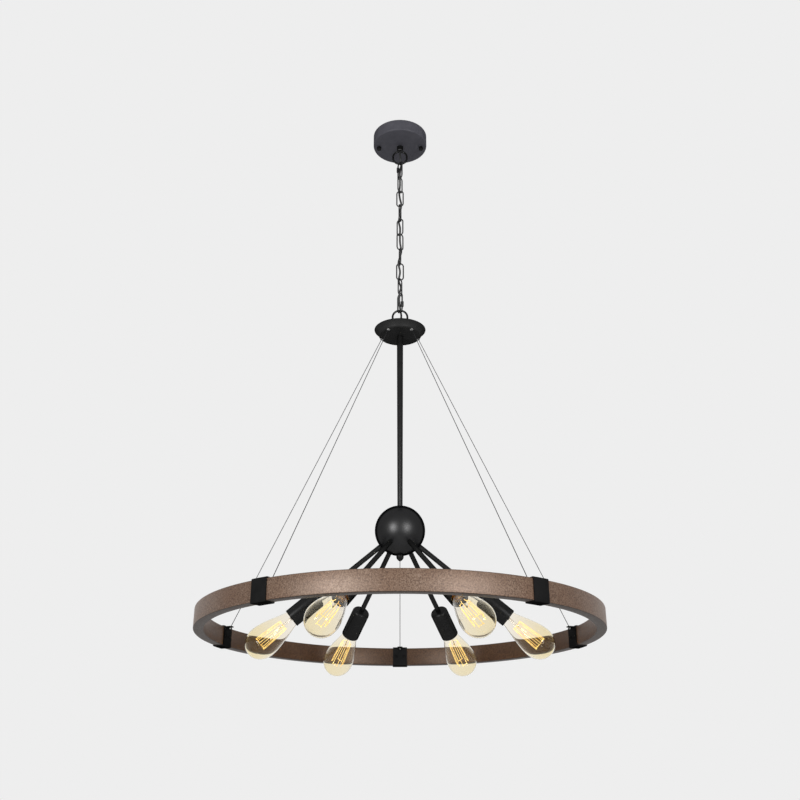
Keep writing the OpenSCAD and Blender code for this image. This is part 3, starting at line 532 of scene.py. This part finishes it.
CUP_R, CUP_L, CUP_ROUND, CUP_LIP = 18.5, 68, 7, 0.55
for number in range(1, ARMS + 1):
    sleeve = half_section(
        [(ARM_HOLE_R, 0), (CUP_R, 0), (CUP_R, CUP_L), (CUP_R - SHEET, CUP_L), (CUP_R - SHEET, SHEET),
         (ARM_HOLE_R, SHEET)],
        {1: CUP_ROUND, 2: CUP_LIP, 3: CUP_LIP, 4: CUP_ROUND - SHEET})
    fit(turn(sleeve, 96), f"drawn_cup_{number}", black_paint, "lamp",
        [f"socket_cup_{number}"], arm_place(number) @ Matrix.Translation((0, 0, BALL_R + ARM_L)))

# Lampholders: moulded phenolic bodies with a brass screw shell and centre contact inside.
# The nut on the arm's thread holds each one in its cup.

phenolic, shader = new_finish("phenolic", Roughness=0.4)
tone = ramp(phenolic, cloud(phenolic, 500, 5),
            [(0.35, (0.010, 0.009, 0.008)), (0.7, (0.030, 0.026, 0.022))])
connect(phenolic, tone, shader, "Base Color")
emboss(phenolic, shader, cloud(phenolic, 900), 0.1)
brass = metal_finish("brass", (0.56, 0.36, 0.13), (0.78, 0.55, 0.25), (0.22, 0.38), patch=120)
dress(phenolic, "lampholders")
dress(brass, "lampholder_contacts")

# Filament bulbs: clear blown glass with a pear shape, cemented into a brass screw cap.
# A glass stem inside carries the long filament, laced up and down between two crowns of hooks.
# The glass is clear; towards its dome, further from the lamp's axis, it is painted amber as a warm glow.

DOME_GLOW_FROM, DOME_GLOW_TO = 0.20, 0.30
clear_glass, shader = new_finish("clear_glass", Roughness=0.0, IOR=1.25, Transmission_Weight=1.0)
level = add_node(clear_glass, "VectorMath", {0: place_on(clear_glass), 1: (1.0, 1.0, 0.0)},
                 operation="MULTIPLY")
aside = add_node(clear_glass, "VectorMath", {0: level.outputs["Vector"]}, operation="LENGTH")
# Painted warm glow: the glass colour turns amber from the neck towards the dome.
share = add_node(clear_glass, "MapRange", {"Value": aside.outputs["Value"], "From Min": DOME_GLOW_FROM,
                                           "From Max": DOME_GLOW_TO})
tone = ramp(clear_glass, share.outputs["Result"], [(0.1, (1.0, 0.975, 0.94)), (0.9, (0.97, 0.90, 0.71))])
connect(clear_glass, tone, shader, "Base Color")
emboss(clear_glass, shader, cloud(clear_glass, 30, 1.0), 0.1, 0.001)
filament_gold, shader = new_finish("filament_gold", Metallic=0.3, Roughness=0.35, Emission_Strength=1.2)
tone = ramp(filament_gold, cloud(filament_gold, 250),
            [(0.35, (0.50, 0.26, 0.05)), (0.65, (0.80, 0.58, 0.16))])
connect(filament_gold, tone, shader, "Base Color")
glow = ramp(filament_gold, cloud(filament_gold, 60),
            [(0.35, (0.70, 0.38, 0.08)), (0.55, (1.0, 0.78, 0.28))])
connect(filament_gold, glow, shader, "Emission Color")
CAP_R, CAP_L, CAP_START, CAP_SHEET, CAP_END = 13, 25, 246.75, 0.5, 4
THREAD_PITCH, THREAD_TURNS, THREAD_WAVE, WAVE_STEPS = 3.6, 5, 0.45, 8
GLASS_R, NECK_R, WIDEST, DOME_L, GLASS_T, NECK_IN, GLASS_STEPS = 32, 14, 80, 35, 0.8, 7, 20
STRANDS, FILAMENT_R = 8, 0.5
CROWNS = [(9.0, 30), (10.5, 32), (13.0, 82), (12.0, 84.5)]


def swell(t):
    """How far the glass has widened from its neck, for a share t of the way to its widest place."""
    return 0.55 * (3 * t * t - 2 * t ** 3) + 0.45 * sin(pi / 2 * t)


def glass_side(inset):
    """The glass's outline from its neck to its tip, inset by the wall for its inside."""
    taper = [(NECK_R + (GLASS_R - NECK_R) * swell(i / GLASS_STEPS) - inset,
              max(inset, WIDEST * i / GLASS_STEPS)) for i in range(GLASS_STEPS)]
    dome = [((GLASS_R - inset) * cos(pi / 2 * i / GLASS_STEPS),
             WIDEST + (DOME_L - inset) * sin(pi / 2 * i / GLASS_STEPS)) for i in range(GLASS_STEPS)]
    return taper + dome + [(0, WIDEST + DOME_L - inset)]


for number in range(1, ARMS + 1):
    body, seat = f"bulb_{number}", arm_place(number) @ Matrix.Translation((0, 0, CAP_START))
    waves = [(CAP_R - THREAD_WAVE - THREAD_WAVE * cos(2 * pi * i / WAVE_STEPS),
              CAP_END + THREAD_PITCH * i / WAVE_STEPS)
             for i in range(WAVE_STEPS // 2, THREAD_TURNS * WAVE_STEPS + 1)]
    thread = half_section(
        [(0, 0), (3, 0), (3, 1.5), (4.5, 1.5), (9.5, CAP_END)] + waves
        + [(CAP_R, CAP_L - 1), (CAP_R, CAP_L), (CAP_R - 0.5, CAP_L), (CAP_R - 1.5, CAP_L - 2),
           (CAP_R - 1.5, CAP_END + 1), (0, CAP_END + 1)], {1: 0.6})
    fit(turn(thread, 64), f"screw_cap_{number}", brass, body, [f"bulb_cap_{number}"], seat)

    neck = CAP_R - CAP_SHEET - 0.1
    envelope = half_section([(neck - GLASS_T, -NECK_IN), (neck, -NECK_IN), (neck, 0)] + glass_side(0)
                            + glass_side(GLASS_T)[::-1] + [(neck - GLASS_T, GLASS_T)])
    on_cap = seat @ Matrix.Translation((0, 0, CAP_L))
    fit(turn(envelope, 96), f"glass_envelope_{number}", clear_glass, body,
        [f"bulb_glass_{number}"], on_cap)
    stem_rod = half_section([(0, -NECK_IN), (neck - 1, -NECK_IN), (neck - 1, 1 - NECK_IN), (5.5, 0), (3, 8),
                             (2.2, 20), (2, 36), (2.6, 38), (0, 39.5)], {3: 2, 4: 3, 7: 0.6})
    fit(turn(stem_rod, 32), f"glass_stem_{number}", clear_glass, body,
        [f"bulb_glass_{number}"], on_cap)

    lacing = []
    for strand in range(STRANDS):
        angle = 2 * pi * (strand + 0.5) / STRANDS
        for radius, height in CROWNS if strand % 2 == 0 else CROWNS[::-1]:
            lacing.append((radius * cos(angle), radius * sin(angle), height))
    cage = draw_round(round_route(lacing, 3), FILAMENT_R, 6)
    fit(cage, f"filament_{number}", filament_gold, body, [], on_cap)

# Ring: five arcs of rectangular steel tube with a printed wood look, butted end to end.
# The print is a fine brown speckle outside, a plain dark stain inside, and grey-brown on the edges.


def printed(name, stops, drift, rough, specular):
    """A speckled print: fine dots on a ground that drifts in broad patches, under a warm varnish."""
    finish, shader = new_finish(name, Specular_IOR_Level=specular, Specular_Tint=(1.0, 0.82, 0.70, 1.0))
    dots = ramp(finish, cloud(finish, 430, 3, 0.7), stops)
    patches = ramp(finish, cloud(finish, 14, 4), [(0.35, drift), (0.62, (1.0, 1.0, 1.0))])
    # A Mix node takes its share at socket 0, two colours at 6 and 7, and gives a colour at 2.
    tone = add_node(finish, "Mix", {6: dots, 7: patches, 0: 0.9}, data_type="RGBA", blend_type="MULTIPLY")
    connect(finish, tone.outputs[2], shader, "Base Color")
    connect(finish, spread(finish, cloud(finish, 300, 4), *rough), shader, "Roughness")
    emboss(finish, shader, cloud(finish, 650, 4), 0.2, 2 * FINE_GRAIN)
    return finish


ARCS, RING_R, RING_W, RING_H, RING_TOP, TUBE_ROUND = 5, 400, 20, 38, -1180.4, 1.4
SEGMENT_GAP = 0.5 / RING_R
wood_print = printed("ring_wood_print", [(0.34, (0.026, 0.010, 0.005)), (0.45, (0.080, 0.041, 0.023)),
                                         (0.53, (0.130, 0.079, 0.051)), (0.66, (0.200, 0.142, 0.105))],
                     (0.84, 0.70, 0.58), (0.38, 0.48), 0.5)
dark_stain = printed("ring_dark_stain", [(0.32, (0.022, 0.011, 0.006)), (0.46, (0.066, 0.032, 0.016)),
                                         (0.66, (0.115, 0.061, 0.033))], (0.8, 0.74, 0.7), (0.36, 0.5), 0.3)
edge_stain = printed("ring_edge_stain", [(0.32, (0.022, 0.014, 0.010)), (0.66, (0.062, 0.046, 0.038))],
                     (0.85, 0.8, 0.78), (0.42, 0.55), 0.15)


def joint_angle(number):
    """Where along the ring an arc starts and its clamp sits; the first is at the back."""
    return radians(90 + 360 / ARCS * (number - 1))


def sweep(layers, start, angle, steps):
    """A hollow oblong section at the ring's tube, swept along the ring from a start angle.
    Each layer is its room round the tube, below 0 inside it, and the round of its corners."""
    bm = bmesh.new()
    for room, corner in layers:
        inner, outer = RING_R - RING_W - room, RING_R + room
        low, high = RING_TOP - RING_H - room, RING_TOP + room
        points = draw_outline(bm, ((inner, low), (outer, low), (outer, high), (inner, high)))
        bmesh.ops.bevel(bm, geom=points, offset=corner, offset_type="OFFSET", segments=3, profile=0.5,
                        affect="VERTICES", material=-1)
    bmesh.ops.bridge_loops(bm, edges=bm.edges[:])
    bmesh.ops.rotate(bm, cent=(0, 0, 0), matrix=Matrix.Rotation(start, 3, "Z"), verts=bm.verts)
    bmesh.ops.spin(bm, geom=bm.faces[:], cent=(0, 0, 0), axis=(0, 0, 1), dvec=(0, 0, 0),
                   angle=angle, steps=steps)
    bmesh.ops.remove_doubles(bm, verts=bm.verts, dist=0.001)
    bmesh.ops.recalc_face_normals(bm, faces=bm.faces)
    return bm


for number in range(1, ARCS + 1):
    tube = sweep([(0, TUBE_ROUND), (-SHEET, TUBE_ROUND - SHEET)],
                 joint_angle(number) + SEGMENT_GAP / 2, 2 * pi / ARCS - SEGMENT_GAP, 48)
    piece = fit(tube, f"wood_look_arc_{number}", wood_print, "lamp",
                [f"ring_segment_{number}"], crease=50)
    piece.data.materials.append(dark_stain)
    piece.data.materials.append(edge_stain)
    for face in piece.data.polygons:
        if abs(face.normal.z) > 0.7:
            face.material_index = 2
        elif face.normal.xy.dot(face.center.xy) < 0:
            face.material_index = 1

# Clamps: five bands of black steel strip, wrapped round the ring where two arcs meet.
# Each carries a tab for its wire on top, inside, and is held by two screws on its inner face.

CLAMP_W, CLAMP_T, CLAMP_FIT, CLAMP_ROUND, CLAMP_INNER_ROUND = 34, 2, 0.15, 2.2, 0.4
CLAMP_ROOM, CLAMP_ANGLE = CLAMP_T + CLAMP_FIT, CLAMP_W / RING_R
CLAMP_INNER = RING_R - RING_W - CLAMP_ROOM
TAB_L, TAB_W, TAB_Z, TAB_SINK, TAB_ROUND, TAB_EDGE = 10, 12, RING_TOP + CLAMP_FIT, 1, 3, 0.3
TAB_HOLE_R, TAB_HOLE_IN = 1.525, 0.527
WIRE_RING_R = CLAMP_INNER - TAB_L / 2
clamp_paint = powder_coat("clamp_black", (0.005, 0.005, 0.005), (0.009, 0.009, 0.009), (0.40, 0.52),
                          specular=0.08)
for number in range(1, ARCS + 1):
    around = Matrix.Rotation(joint_angle(number), 4, "Z")
    band = sweep([(CLAMP_ROOM, CLAMP_ROUND), (CLAMP_FIT, CLAMP_INNER_ROUND)], -CLAMP_ANGLE / 2,
                 CLAMP_ANGLE, 8)
    fit(band, f"clamp_band_{number}", clamp_paint, "lamp", ["ring_clamps"], around,
        crease=30)

    tab = bmesh.new()
    blank = Matrix.Translation((CLAMP_INNER - TAB_L / 2 + TAB_SINK / 2, 0, TAB_Z + CLAMP_T / 2))
    bmesh.ops.create_cube(tab, size=1, matrix=blank @ Matrix.Diagonal((TAB_L + TAB_SINK, TAB_W, CLAMP_T, 1)))
    upright = [e for e in tab.edges if abs(e.verts[0].co.z - e.verts[1].co.z) > 1
               and e.verts[0].co.x < CLAMP_INNER - 1]
    bmesh.ops.bevel(tab, geom=upright, offset=TAB_ROUND, offset_type="OFFSET", segments=5, profile=0.5,
                    affect="EDGES", material=-1)
    flat = [e for e in tab.edges if abs(e.verts[0].co.z - e.verts[1].co.z) < 0.01]
    bmesh.ops.bevel(tab, geom=flat, offset=TAB_EDGE, offset_type="OFFSET", segments=2, profile=0.5,
                    affect="EDGES", material=-1)
    piece = fit(tab, f"clamp_tab_{number}", clamp_paint, "lamp", ["ring_clamps"], around)
    bit = bmesh.new()
    bmesh.ops.create_cone(bit, segments=24, radius1=TAB_HOLE_R, radius2=TAB_HOLE_R, depth=10,
                          cap_ends=True, matrix=Matrix.Translation((WIRE_RING_R - TAB_HOLE_IN, 0, TAB_Z)))
    bmesh.ops.transform(bit, matrix=Matrix.Scale(0.001, 4) @ around, verts=bit.verts)
    drill(piece, bit)

# Clamp screws: ten button-head machine screws of blackened steel, with a hexagon socket.
# They pass through the clamp's inner face into the ring's ends.

SCREW_R, HEAD_R, HEAD_H, SCREW_L, SCREW_OFFSET = 2, 3.75, 2.2, 9.35, 9.6
HEAD_SEAT_R = sqrt(CLAMP_INNER ** 2 - HEAD_R ** 2)
for number in range(1, 2 * ARCS + 1):
    clamp, side = (number + 1) // 2, 1 - 2 * (number % 2)
    head = half_section([(0, SCREW_L), (SCREW_R, SCREW_L), (SCREW_R, 0), (HEAD_R, 0), (HEAD_R, -0.9),
                         (2.9, -1.8), (1.6, -HEAD_H), (1.45, -1.9), (1.45, -0.8), (0, -0.8)],
                        {1: 0.5, 4: 0.4, 5: 0.6, 6: 0.2})
    turned = joint_angle(clamp) + side * asin(SCREW_OFFSET / (RING_R - RING_W))
    place = (Matrix.Rotation(turned, 4, "Z")
             @ Matrix.Translation((HEAD_SEAT_R, 0, RING_TOP - RING_H / 2))
             @ Matrix.Rotation(pi / 2, 4, "Y"))
    fit(turn(head, 32), f"button_screw_{number}", clamp_paint, "lamp", ["clamp_screws"],
        place)

# Suspension wires: five thin stranded steel ropes from the hub's floor to the clamps' tabs.
# A nickel-plated bushing lines each hole in the hub, and a crimped ball holds each end.

WIRE_R, WIRE_HUB_R, STOP_R, STOP_BORE_R, STOP_GAP = 0.75, 43.5, 2.1, 0.8, 0.1
BUSHING_R, BUSHING_BORE_R, BUSHING_H = 3.5, 1.736, 1.6
LAY_TURNS, LAY_STEPS, STRAND_VALLEY = 60, 8, 0.88
LEAN = atan2(WIRE_RING_R - WIRE_HUB_R, FLOOR_Z - TAB_Z)
RUN = (FLOOR_Z - TAB_Z) / cos(LEAN)
TAIL = SHEET / cos(LEAN) + 2 * STOP_R + 1
ROPE_L = TAIL + RUN + 2 * STOP_R + 1
HUB_STOP, CLAMP_STOP = -(SHEET + STOP_R + STOP_GAP) / cos(LEAN), RUN + (STOP_R + STOP_GAP) / cos(LEAN)
steel = metal_finish("steel_wire", (0.020, 0.020, 0.021), (0.045, 0.045, 0.047), (0.40, 0.55), patch=200)
nickel = metal_finish("nickel", (0.20, 0.20, 0.20), (0.34, 0.34, 0.33), (0.18, 0.30), patch=150)
stop_pole = 90 - degrees(asin(STOP_BORE_R / STOP_R))
for number in range(1, ARCS + 1):
    around = Matrix.Rotation(joint_angle(number), 4, "Z")
    line = around @ Matrix.Translation((WIRE_HUB_R, 0, FLOOR_Z)) @ Matrix.Rotation(pi - LEAN, 4, "Y")
    rope = bmesh.new()
    strands = bmesh.ops.create_circle(rope, segments=12, radius=WIRE_R,
                                      matrix=Matrix.Translation((0, 0, -TAIL)))
    bmesh.ops.scale(rope, vec=(STRAND_VALLEY, STRAND_VALLEY, 1), verts=strands["verts"][::2])
    bmesh.ops.spin(rope, geom=rope.edges[:], cent=(0, 0, 0), axis=(0, 0, 1),
                   dvec=(0, 0, ROPE_L / (LAY_TURNS * LAY_STEPS)), angle=2 * pi * LAY_TURNS,
                   steps=LAY_TURNS * LAY_STEPS)
    bmesh.ops.holes_fill(rope, edges=[e for e in rope.edges if e.is_boundary], sides=12)
    bmesh.ops.recalc_face_normals(rope, faces=rope.faces)
    fit(rope, f"wire_rope_{number}", steel, "lamp", ["suspension_wires"], line, crease=80)
    for name, where in (("hub", HUB_STOP), ("clamp", CLAMP_STOP)):
        crimp = half_section(arc(STOP_R, stop_pole, -stop_pole, 20))
        fit(turn(crimp, 32), f"crimp_ball_{name}_{number}", nickel, "lamp", ["wire_stops"],
            line @ Matrix.Translation((0, 0, where)))
    bushing = half_section([(BUSHING_BORE_R, 0), (BUSHING_R, 0), (BUSHING_R, -BUSHING_H),
                            (BUSHING_BORE_R, -BUSHING_H)], {2: 0.4, 3: 0.3})
    fit(turn(bushing, 40), f"bushing_{number}", nickel, "lamp", ["wire_stops"],
        around @ Matrix.Translation((WIRE_HUB_R, 0, FLOOR_Z)))

# Room: a plain pale floor below the lamp, two broad softboxes in front, and an even pale light.
# Two cards at the softboxes only add to the gloss. The camera looks up at the lamp from the front.

BACKDROP, SKY, FLOOR_LIFT = (0.855, 0.855, 0.855), 0.5, 0.445
GROUND_Z, GROUND_REACH = -2.4, 20


def looking(tree):
    """1 for a ray that looks at the room, straight, in a mirror or through glass, and 0 for its light."""
    path = tree.nodes.new("ShaderNodeLightPath")
    seen = path.outputs["Is Camera Ray"]
    for ray in ("Is Glossy Ray", "Is Transmission Ray"):
        either = tree.nodes.new("ShaderNodeMath")
        either.operation = "MAXIMUM"
        tree.links.new(seen, either.inputs[0])
        tree.links.new(path.outputs[ray], either.inputs[1])
        seen = either.outputs[0]
    return seen


floor_coat, shader = new_finish("floor_coat", Roughness=0.9, Specular_IOR_Level=0.0,
                                Emission_Color=(1.0, 1.0, 1.0, 1.0))
tone = ramp(floor_coat, cloud(floor_coat, 2), [(0.3, (0.80, 0.80, 0.80)), (0.7, (0.83, 0.83, 0.83))])
connect(floor_coat, tone, shader, "Base Color")
lift = add_node(floor_coat, "Math", {0: looking(floor_coat.node_tree), 1: FLOOR_LIFT}, operation="MULTIPLY")
connect(floor_coat, lift.outputs[0], shader, "Emission Strength")
floor = bmesh.new()
bmesh.ops.create_grid(floor, x_segments=8, y_segments=8, size=GROUND_REACH,
                      matrix=Matrix.Translation((0, 0, GROUND_Z)))
mesh = bpy.data.meshes.new("floor")
floor.to_mesh(mesh)
floor.free()
mesh.materials.append(floor_coat)
ground = bpy.data.objects.new("floor", mesh)
bpy.context.scene.collection.objects.link(ground)

world = bpy.data.worlds.new("room")
world.use_nodes = True
bpy.context.scene.world = world
tree = world.node_tree
light, outside = tree.nodes["Background"], tree.nodes["World Output"]
light.inputs["Color"].default_value = (1.0, 1.0, 1.0, 1.0)
light.inputs["Strength"].default_value = SKY
pale = tree.nodes.new("ShaderNodeBackground")
pale.inputs["Color"].default_value = (*BACKDROP, 1.0)
choice = tree.nodes.new("ShaderNodeMixShader")
tree.links.new(looking(tree), choice.inputs[0])
tree.links.new(light.outputs[0], choice.inputs[1])
tree.links.new(pale.outputs[0], choice.inputs[2])
tree.links.new(choice.outputs[0], outside.inputs[0])

BOX_W, BOX_H, BOX_SPREAD, BOX_ASIDE, BOX_Y, BOX_Z, AIM_Z = 0.85, 1.35, 80, 1.6, -2.6, -0.9, -0.95
SOFTBOX_POWER, CARD_POWER = 9, 15
for name, aside, power, whole in (
        ("softbox_left", -BOX_ASIDE, SOFTBOX_POWER, True), ("softbox_right", BOX_ASIDE, SOFTBOX_POWER, True),
        ("card_left", -BOX_ASIDE, CARD_POWER, False), ("card_right", BOX_ASIDE, CARD_POWER, False)):
    panel = bpy.data.lights.new(name, "AREA")
    panel.shape, panel.size, panel.size_y, panel.energy = "RECTANGLE", BOX_W, BOX_H, power
    panel.spread = radians(BOX_SPREAD)
    box = bpy.data.objects.new(name, panel)
    bpy.context.scene.collection.objects.link(box)
    box.location = (aside, BOX_Y, BOX_Z)
    box.rotation_euler = (Vector((0, 0, AIM_Z)) - box.location).to_track_quat("-Z", "Y").to_euler()
    box.visible_diffuse = whole

EYE, LOOK_UP, FOCAL_PX, FRAME_PX, SENSOR = (0, -1.914, -1.5526), 23.73, 959, 800, 36
camera = bpy.data.cameras.new("camera")
camera.sensor_width, camera.lens = SENSOR, FOCAL_PX / FRAME_PX * SENSOR
viewer = bpy.data.objects.new("camera", camera)
viewer.location = EYE
viewer.rotation_euler = (radians(90 + LOOK_UP), 0, 0)
bpy.context.scene.collection.objects.link(viewer)
bpy.context.scene.camera = viewer
bpy.context.scene.view_settings.view_transform = "Standard"
